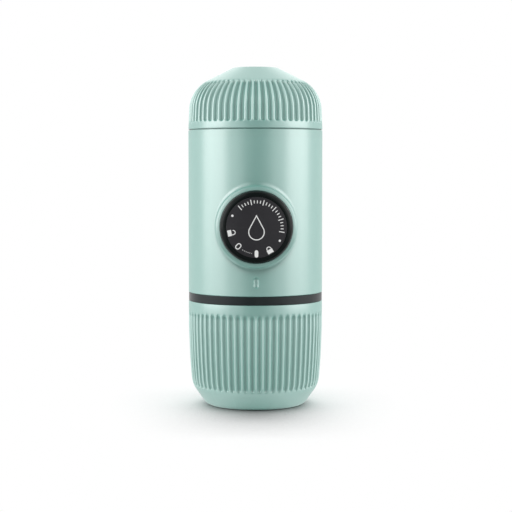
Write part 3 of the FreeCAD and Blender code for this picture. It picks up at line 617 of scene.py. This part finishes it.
def makeTank():
    form = tankForm
    top = tankHigh.z
    footRadius = bodyRadius - form["footInset"]
    slopeRadius = bodyRadius - form["slopeInset"]
    fluteHigh = top - form["fluteHigh"]

    def grooveAt(radius, height):
        past = max((height - fluteHigh) / form["highEnd"], (form["fluteLow"] - height) / form["lowEnd"])
        return past, 1, 0

    outer = bmesh.new()
    drawProfile(outer, [(0, 0), (footRadius, 0, form["footEdge"]),
                        (slopeRadius, form["slopeHeight"], form["slopeEdge"]),
                        (bodyRadius - form["taperInset"], form["taperHeight"], form["taperBlend"]),
                        (bodyRadius, form["sideHeight"], form["sideBlend"]),
                        (bodyRadius, top, form["rimEdge"]), (form["mouthRadius"], top)],
                arcStep=form["arcStep"])
    addRows(outer, form["fluteLow"] - form["lowEnd"], form["fluteLow"], form["lowRows"])
    addRows(outer, form["fluteLow"], fluteHigh, form["wallRows"])
    addRows(outer, fluteHigh, fluteHigh + form["highEnd"], form["highRows"])
    turnSlice(outer, fluteCut["count"], fluteColumns)
    pressFlute(outer, grooveAt, form["fluteDeep"])

    shoulder = form["mouthLow"] - (form["roomRadius"] - form["mouthRadius"])
    inner = bmesh.new()
    drawProfile(inner, [(form["mouthRadius"], top), (form["mouthRadius"], form["mouthLow"]),
                        (form["roomRadius"], shoulder, form["roomEdge"]),
                        (form["roomRadius"], form["taperHeight"]),
                        (slopeRadius - form["wall"], form["slopeHeight"] + form["wall"] / 4,
                         form["slopeEdge"] / 2),
                        (footRadius - form["wall"] / 2, form["floor"], form["footEdge"] - 0.5 * mm),
                        (0, form["floor"])], arcStep=form["innerArcStep"])
    turnSlice(inner, fluteCut["count"], fluteColumns)
    joinMesh(outer, inner)
    repeatSlice(outer, fluteCut["count"], form["fluteTurn"])
    addMouthThread(outer)
    return addPiece("fluted_tank", outer, "tank", "mint_paint", ["water_tank"])


makeTank()


# return spring and valve spring, drawn as wire coils; the second, which its valve presses, gets a mesh of its own

springMesh = {"sides": 12, "stepsPerTurn": 40}
springForms = {
    "return_spring": {"name": "cap_spring", "body": "main_body", "mean": 12.1 * mm, "wire": 1.3 * mm, "turns": 7,
                      "axis": "Y"},
    "outlet_spring": {"name": "valve_spring", "body": "main_body", "mean": 2.6 * mm, "wire": 0.4 * mm, "turns": 8,
                      "axis": "Z", "pressedBy": "outlet_lift", "keep": 0.86},
}


def makeSpring(nodeName, form):
    low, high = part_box(nodeName)
    middle = (low + high) / 2
    along = 1 if form["axis"] == "Y" else 2
    length = high[along] - low[along] - form["wire"]
    bm = bmesh.new()
    sideways = Matrix.Translation((form["mean"], 0, 0)) @ frontTurn
    bmesh.ops.create_circle(bm, cap_ends=True, segments=springMesh["sides"], radius=form["wire"] / 2,
                            matrix=sideways)
    steps = springMesh["stepsPerTurn"] * form["turns"]
    bmesh.ops.spin(bm, geom=bm.verts[:] + bm.edges[:] + bm.faces[:], cent=origin, axis=upAxis,
                   dvec=(0, 0, length / steps), angle=2 * math.pi * form["turns"], steps=steps,
                   use_merge=False, use_duplicate=False)
    bmesh.ops.recalc_face_normals(bm, faces=bm.faces[:])
    bmesh.ops.translate(bm, vec=(0, 0, -length / 2), verts=bm.verts[:])
    if form["axis"] == "Y":
        bmesh.ops.rotate(bm, cent=origin, matrix=frontTurn.to_3x3(), verts=bm.verts[:])
        middle = Vector((0, middle.y, dialHeight))
    bmesh.ops.translate(bm, vec=middle, verts=bm.verts[:])
    spring = addPiece(form["name"], bm, form["body"], "steel", [nodeName])
    if "pressedBy" in form:
        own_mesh(spring)
    return spring


for nodeName, form in springForms.items():
    makeSpring(nodeName, form)


# dial: the disc set in the cap and its printed signs

dialForm = {"radius": 13.37 * mm, "recess": 0.06 * mm, "edge": 0.12 * mm, "ink": 0.04 * mm, "line": 0.42 * mm,
            "steps": 128, "arcStep": 20.0}
discFront = discLow.y + dialForm["recess"]


def makeDisc():
    form = dialForm
    bm = bmesh.new()
    depth = discHigh.y - discFront
    drawProfile(bm, [(0, 0), (form["radius"], 0, form["edge"]), (form["radius"], -depth), (0, -depth)],
                arcStep=form["arcStep"])
    turnProfile(bm, form["steps"])
    tidyMesh(bm)
    towardsFront(bm, discFront)
    return addPiece("dial_disc", bm, "piston", "black_gloss", ["cap_disc"], dialFace)


signSteps = {"pill": 12, "dot": 20, "drop": 32, "shackle": 14}  # points in each sign's round part


# faces give way to a band along their outline, one line wide
def keepOutline(bm, faces, width):
    bmesh.ops.inset_region(bm, faces=faces, thickness=width, depth=0, use_boundary=True, use_even_offset=True)
    bmesh.ops.delete(bm, geom=faces, context="FACES")


# long round-ended sign, filled or only its outline
def addPill(bm, place, turned, width, length, line=0.0):
    sign = bmesh.new()
    radius = width / 2
    straight = length / 2 - radius
    start = sign.verts.new((radius, -straight, 0))
    end = start
    for centre in (straight, -straight):
        top = sign.verts.new((radius if centre > 0 else -radius, centre, 0))
        sign.edges.new((end, top))
        made = bmesh.ops.spin(sign, geom=[top], cent=(0, centre, 0), axis=upAxis, dvec=origin, angle=math.pi,
                              steps=signSteps["pill"], use_merge=False, use_duplicate=False)
        end = lastVert(made)
    bmesh.ops.remove_doubles(sign, verts=sign.verts[:], dist=mergeGap)
    filled = bmesh.ops.contextual_create(sign, geom=sign.edges[:])["faces"]
    if line:
        keepOutline(sign, filled, line)
    placeSign(bm, sign, place, turned)


def addDot(bm, place, radius):
    sign = bmesh.new()
    bmesh.ops.create_circle(sign, cap_ends=True, segments=signSteps["dot"], radius=radius)
    placeSign(bm, sign, place, 0)


def addTick(bm, place, turned, width, length):
    sign = bmesh.new()
    bmesh.ops.create_grid(sign, x_segments=1, y_segments=1, size=0.5,
                          matrix=Matrix.Diagonal((width, length, 1, 1)))
    placeSign(bm, sign, place, turned)


def placeSign(bm, sign, place, turned):
    matrix = Matrix.Translation((*place, 0)) @ Matrix.Rotation(math.radians(turned), 4, "Z")
    bmesh.ops.transform(sign, matrix=matrix, verts=sign.verts[:])
    joinMesh(bm, sign)


# place on the dial at a radius and an angle in degrees, anticlockwise from 3 o'clock
def onDial(radius, degrees):
    angle = math.radians(degrees)
    return (radius * math.cos(angle), radius * math.sin(angle))


# plain water drop, outline only
def addDrop(bm, place, width, length, line):
    sign = bmesh.new()
    radius = width / 2
    centre = radius - length / 2
    reach = length - radius
    lean = math.asin(radius / reach)
    start = sign.verts.new((radius * math.cos(lean), centre + radius * math.sin(lean), 0))
    made = bmesh.ops.spin(sign, geom=[start], cent=(0, centre, 0), axis=upAxis, dvec=origin,
                          angle=-(math.pi + 2 * lean), steps=signSteps["drop"], use_merge=False,
                          use_duplicate=False)
    end = lastVert(made)
    point = sign.verts.new((0, length / 2, 0))
    sign.edges.new((end, point))
    sign.edges.new((point, start))
    filled = bmesh.ops.contextual_create(sign, geom=sign.edges[:])["faces"]
    keepOutline(sign, filled, line)
    placeSign(bm, sign, place, 0)


# shares of the padlock's size, but the line's share is of the dial's line
padlockForm = {"width": 0.86, "height": 0.56, "down": 0.22, "shackle": 0.24, "legLow": 0.02, "legHigh": 0.14,
               "lift": 0.14, "line": 0.9}


# padlock: square body and a shackle, open or closed
def addPadlock(bm, place, turned, size, isOpen):
    form = padlockForm
    sign = bmesh.new()
    line = dialForm["line"] * form["line"]
    addTick(sign, (0, -form["down"] * size), 0, form["width"] * size, form["height"] * size)
    shackle = bmesh.new()
    radius = form["shackle"] * size
    legLow = form["legLow"] * size
    legHigh = form["legHigh"] * size + (form["lift"] * size if isOpen else 0.0)
    leg = shackle.verts.new((radius, legLow, 0))
    corner = shackle.verts.new((radius, legHigh, 0))
    shackle.edges.new((leg, corner))
    made = bmesh.ops.spin(shackle, geom=[corner], cent=(0, legHigh, 0), axis=upAxis, dvec=origin,
                          angle=math.pi, steps=signSteps["shackle"], use_merge=False, use_duplicate=False)
    end = lastVert(made)
    if not isOpen:
        foot = shackle.verts.new((-radius, legLow, 0))
        shackle.edges.new((end, foot))
    widened = bmesh.ops.extrude_edge_only(shackle, edges=shackle.edges[:])
    for vert in [v for v in widened["geom"] if isinstance(v, bmesh.types.BMVert)]:
        above = max(vert.co.y - legHigh, 0)
        outward = Vector((vert.co.x, above, 0)).normalized()
        vert.co += outward * line
    joinMesh(sign, shackle)
    placeSign(bm, sign, place, turned)


dialSigns = {
    "pill": (1.6 * mm, 3.2 * mm, 11.5 * mm, -90.0),  # width, length, radius, angle
    "openPill": (2.2 * mm, 3.0 * mm, 11.4 * mm, -134.0),
    "smallDots": (6, -121.5, -100.5, 11.5 * mm, 0.17 * mm),  # count, first and last angle, radius, size
    "bigDots": (11.7 * mm, 0.52 * mm, (154.0, -29.5)),  # radius, size, angles
    "scale": (130.0, -10.0, 21, 11.2 * mm),  # first and last angle, count, radius
    "tickWidth": 0.36 * mm, "tickShort": 1.3 * mm, "tickLong": 2.4 * mm, "tickEvery": 4,
    "drop": (7.2 * mm, 11.2 * mm),  # width, length
    "lockSize": 3.1 * mm, "lockRadius": 11.3 * mm, "openLockAt": 192.0, "closedLockAt": -60.0,
}


def makeDialSigns():
    bm = bmesh.new()
    line = dialForm["line"]
    width, length, radius, angle = dialSigns["pill"]
    addPill(bm, onDial(radius, angle), angle + 90, width, length)
    width, length, radius, angle = dialSigns["openPill"]
    addPill(bm, onDial(radius, angle), angle + 90, width, length, line)
    count, start, stop, radius, size = dialSigns["smallDots"]
    for index in range(count):
        addDot(bm, onDial(radius, start + (stop - start) * index / (count - 1)), size)
    radius, size, angles = dialSigns["bigDots"]
    for angle in angles:
        addDot(bm, onDial(radius, angle), size)
    start, stop, count, radius = dialSigns["scale"]
    for index in range(count):
        angle = start + (stop - start) * index / (count - 1)
        isLong = index % dialSigns["tickEvery"] == 0
        addTick(bm, onDial(radius, angle), angle + 90, dialSigns["tickWidth"],
                dialSigns["tickLong"] if isLong else dialSigns["tickShort"])
    addDrop(bm, (0, 0), *dialSigns["drop"], line)
    for angle, isOpen in ((dialSigns["openLockAt"], True), (dialSigns["closedLockAt"], False)):
        addPadlock(bm, onDial(dialSigns["lockRadius"], angle), angle + 90, dialSigns["lockSize"], isOpen)
    bmesh.ops.recalc_face_normals(bm, faces=bm.faces[:])
    for face in bm.faces:
        if face.normal.z < 0:
            face.normal_flip()
    # the flat signs get the thickness of the ink
    raised = bmesh.ops.extrude_face_region(bm, geom=bm.faces[:], use_keep_orig=True)
    lifted = [v for v in raised["geom"] if isinstance(v, bmesh.types.BMVert)]
    bmesh.ops.translate(bm, vec=(0, 0, dialForm["ink"]), verts=lifted)
    bmesh.ops.recalc_face_normals(bm, faces=bm.faces[:])
    towardsFront(bm, discFront)
    return addPiece("dial_signs", bm, "piston", "white_plastic", (), dialInk, sharp=30.0)


makeDisc()
makeDialSigns()


# studio: pale floor, white all round, soft boxes at the sides and behind, dark cards for reflections

studio = {"floorSize": 6.0, "floorParts": 24, "floorGap": 0.05 * mm, "floorGrey": 0.8, "floorStretch": 2.2,
          "whiteFrom": 0.045, "whiteTo": 0.15, "mirrorFrom": 0.022, "mirrorTo": 0.045,
          "shadeReach": 0.07, "shadeFrom": (0.75, 0.45, 0.48), "worldLevel": 0.75,
          "cardGrey": 0.16, "cardLighter": 1.2, "cardGrain": 80.0, "cardRough": 0.9, "aimHeight": 0.08}
darkCards = {
    "frontCard": {"place": (0.05, -1.5, 1.0), "size": (1.35, 2.2), "tilt": 90.0},
    "highCard": {"place": (0.0, -0.75, 2.1), "size": (1.35, 1.5), "tilt": 0.0},
    "lowCard": {"place": (0.02, -0.819, 0.002), "size": (0.34, 1.57), "tilt": 0.0},
}
softBoxes = {
    "leftBox": {"place": (-1.02, -0.27, 0.26), "size": (0.95, 1.30), "power": 6.5},
    "rightBox": {"place": (1.02, -0.24, 0.26), "size": (0.90, 1.30), "power": 6.1},
    "backBox": {"place": (0, 0.95, 0.60), "size": (2.2, 0.6), "power": 4.0},
}


# 1 for what the camera, glossy and clear surfaces see, 0 for what lights the object
def backgroundMask(tree):
    path = addNode(tree, "ShaderNodeLightPath")
    seen = addNode(tree, "ShaderNodeMath", {0: path.outputs["Is Camera Ray"], 1: path.outputs["Is Glossy Ray"]},
                   operation="MAXIMUM")
    either = addNode(tree, "ShaderNodeMath", {0: seen.outputs[0], 1: path.outputs["Is Transmission Ray"]},
                     operation="MAXIMUM")
    return either.outputs[0]


def makeWorld():
    world = bpy.data.worlds.new("studioWhite")
    bpy.context.scene.world = world
    world.use_nodes = True
    tree = world.node_tree
    level = mapValue(tree, backgroundMask(tree), studio["worldLevel"], 1.0)
    tree.links.new(level, tree.nodes["Background"].inputs["Strength"])
    tree.nodes["Background"].inputs["Color"].default_value = (1, 1, 1, 1)


# two slanted directions, towards light that comes from behind at the left and at the right
def makeWays(tree):
    across, back, up = studio["shadeFrom"]
    return [addNode(tree, "ShaderNodeCombineXYZ", {"X": side * across, "Y": back, "Z": up}).outputs["Vector"]
            for side in (-1, 1)]


def mixShaders(tree, factor, first, second):
    return addNode(tree, "ShaderNodeMixShader", {0: factor, 1: first, 2: second}).outputs[0]


# seen straight, the floor is paper with the object's shadow, deepened by a painted shadow where the floor is
# closed in towards the back left and back right, and white further out; in reflections it turns white nearer to
# the foot; what lights the object is plain paper
def makeFloor():
    bm = bmesh.new()
    parts = studio["floorParts"]
    bmesh.ops.create_grid(bm, x_segments=parts, y_segments=parts, size=studio["floorSize"] / 2)
    bmesh.ops.translate(bm, vec=(0, 0, tankLow.z - studio["floorGap"]), verts=bm.verts[:])
    mesh = bpy.data.meshes.new("studioFloor")
    bm.to_mesh(mesh)
    bm.free()
    floor = bpy.data.objects.new("studioFloor", mesh)
    bpy.context.scene.collection.objects.link(floor)
    material, tree, shader = startMaterial("floorPaper")
    tree.nodes.remove(shader)
    grey = studio["floorGrey"]
    paper = addNode(tree, "ShaderNodeBsdfDiffuse", {"Color": (grey, grey, grey, 1)}).outputs[0]
    # painted shadow: the paper's colour goes dark where the floor is closed in towards the back left and back
    # right
    left, right = [addOpenness(tree, studio["shadeReach"], way) for way in makeWays(tree)]
    most = addNode(tree, "ShaderNodeMath", {0: left, 1: right}, operation="MAXIMUM").outputs[0]
    squared = addNode(tree, "ShaderNodeMath", {0: most, 1: most}, operation="MULTIPLY")
    paintedShadow = mixColours(tree, squared.outputs[0], (0, 0, 0, 1), (1, 1, 1, 1))
    shaded = addNode(tree, "ShaderNodeBsdfDiffuse", {"Color": paintedShadow}).outputs[0]
    white = addNode(tree, "ShaderNodeEmission", {"Strength": 1.0}).outputs[0]
    place = addNode(tree, "ShaderNodeTexCoord")
    wide = addNode(tree, "ShaderNodeMapping", {"Vector": place.outputs["Object"],
                                               "Scale": (studio["floorStretch"], 1.0, 1.0)})
    length = addNode(tree, "ShaderNodeVectorMath", {0: wide.outputs["Vector"]}, operation="LENGTH")
    away = length.outputs["Value"]
    whiteShare = mapValue(tree, away, 0.0, 1.0, studio["whiteFrom"], studio["whiteTo"])
    mirrorShare = mapValue(tree, away, 0.0, 1.0, studio["mirrorFrom"], studio["mirrorTo"])
    direct = mixShaders(tree, whiteShare, shaded, white)
    mirrored = mixShaders(tree, mirrorShare, paper, white)
    isCamera = addNode(tree, "ShaderNodeLightPath").outputs["Is Camera Ray"]
    final = mixShaders(tree, backgroundMask(tree), paper, mixShaders(tree, isCamera, mirrored, direct))
    tree.links.new(final, tree.nodes["Material Output"].inputs["Surface"])
    mesh.materials.append(material)


def makeCardGrey():
    material, tree, shader = startMaterial("cardGrey")
    grain = useGroup(tree, grainGroup, Scale=studio["cardGrain"])
    dark = studio["cardGrey"]
    light = dark * studio["cardLighter"]
    mixed = mixColours(tree, grain.outputs["Mask"], (dark, dark, dark, 1), (light, light, light, 1))
    tree.links.new(mixed, shader.inputs["Base Color"])
    shader.inputs["Roughness"].default_value = studio["cardRough"]
    return material


def makeCard(name, form, material):
    bm = bmesh.new()
    tilted = Matrix.Rotation(math.radians(form["tilt"]), 4, "X") @ Matrix.Diagonal((*form["size"], 1, 1))
    bmesh.ops.create_grid(bm, x_segments=2, y_segments=2, size=0.5,
                          matrix=Matrix.Translation(form["place"]) @ tilted)
    mesh = bpy.data.meshes.new(name)
    bm.to_mesh(mesh)
    bm.free()
    mesh.materials.append(material)
    card = bpy.data.objects.new(name, mesh)
    card.visible_camera = card.visible_diffuse = card.visible_shadow = False  # seen in reflections only
    bpy.context.scene.collection.objects.link(card)


def makeSoftBox(name, box):
    light = bpy.data.lights.new(name, "AREA")
    light.shape = "RECTANGLE"
    light.size, light.size_y = box["size"]
    light.energy = box["power"]
    lamp = bpy.data.objects.new(name, light)
    lamp.location = box["place"]
    aim = Vector((0, 0, studio["aimHeight"])) - Vector(box["place"])
    lamp.rotation_euler = aim.to_track_quat("-Z", "Y").to_euler()
    lamp.visible_camera = False
    bpy.context.scene.collection.objects.link(lamp)


makeWorld()
makeFloor()
cardGrey = makeCardGrey()
for name, form in darkCards.items():
    makeCard(name, form, cardGrey)
for name, box in softBoxes.items():
    makeSoftBox(name, box)
print("studio made")


# camera: in front, a touch to the left, above the middle and tipped down slightly

cameraForm = {"place": (-0.00791, -0.66995, 0.1082), "tipDown": 3.39, "turn": -0.7, "lens": 101.7,
              "sensor": 36.0}


def makeCamera():
    data = bpy.data.cameras.new("productCamera")
    data.lens = cameraForm["lens"]
    data.sensor_width = cameraForm["sensor"]
    camera = bpy.data.objects.new("productCamera", data)
    camera.location = cameraForm["place"]
    tipped = math.radians(90 - cameraForm["tipDown"])
    camera.rotation_euler = (tipped, 0, math.radians(cameraForm["turn"]))
    bpy.context.scene.collection.objects.link(camera)
    bpy.context.scene.camera = camera


makeCamera()
bpy.context.scene.view_settings.view_transform = "Standard"
